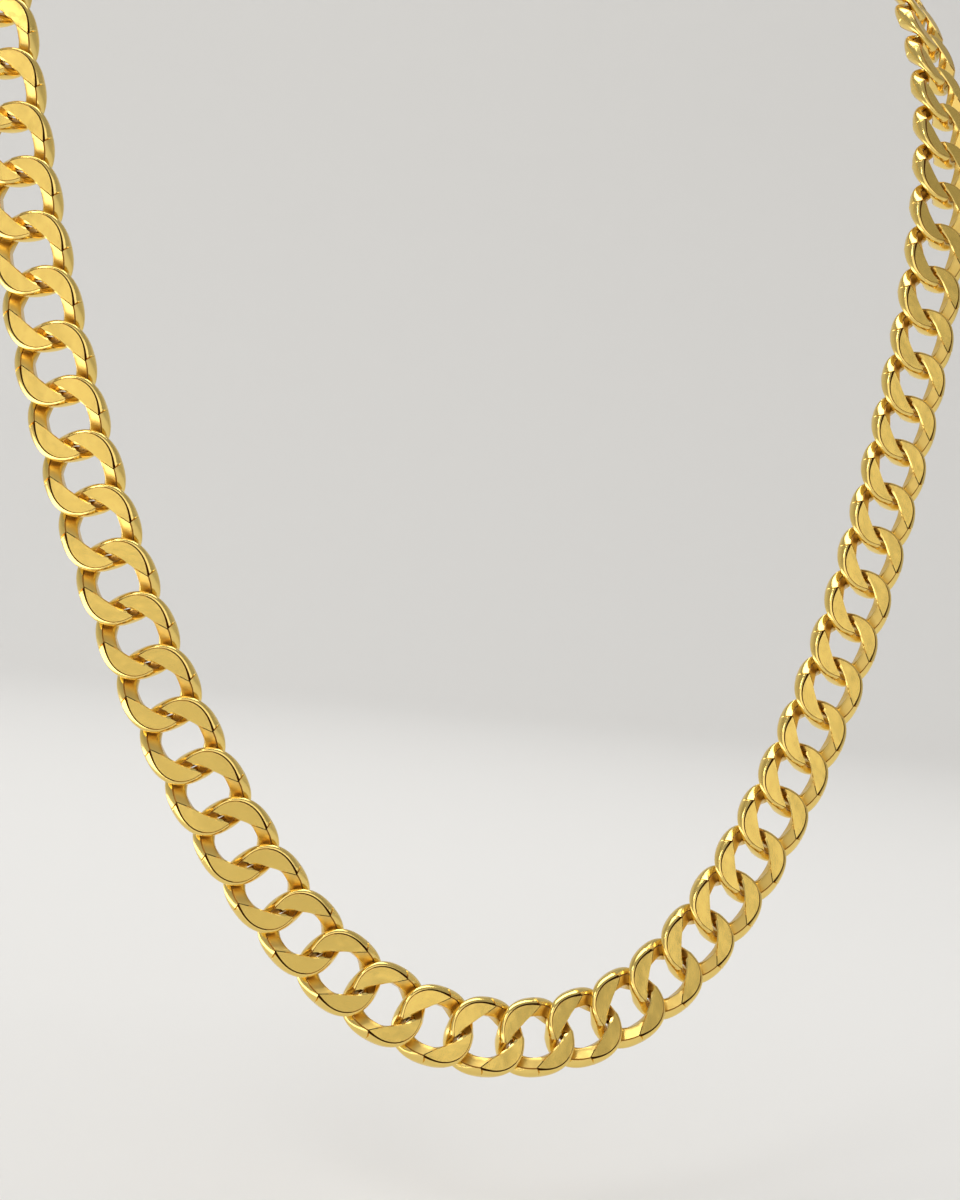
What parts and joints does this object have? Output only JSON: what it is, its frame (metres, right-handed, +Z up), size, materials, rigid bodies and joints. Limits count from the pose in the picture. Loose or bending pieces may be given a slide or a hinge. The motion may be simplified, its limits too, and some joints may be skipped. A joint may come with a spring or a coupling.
{
  "type": "curb chain necklace",
  "caption": "Flat diamond-cut curb chain necklace of interlocked oval links in polished yellow gold, as worn, closed by a plain clasp at the nape.",
  "frame": {"origin": "middle of the clasp's inner face, where it rests on the back of the neck", "axes": "+Z up, -Y to the front of the neck, +X to the right as seen from the front"},
  "size_m": [0.1694, 0.106, 0.213],
  "materials": {
    "gold_links": "polished yellow gold, flat facets diamond cut",
    "gold_clasp": "polished yellow gold"
  },
  "bodies": {
    "root": {"chain_left": "gold_links", "chain_right": "gold_links", "clasp": "gold_clasp"}
  },
  "joints": []
}
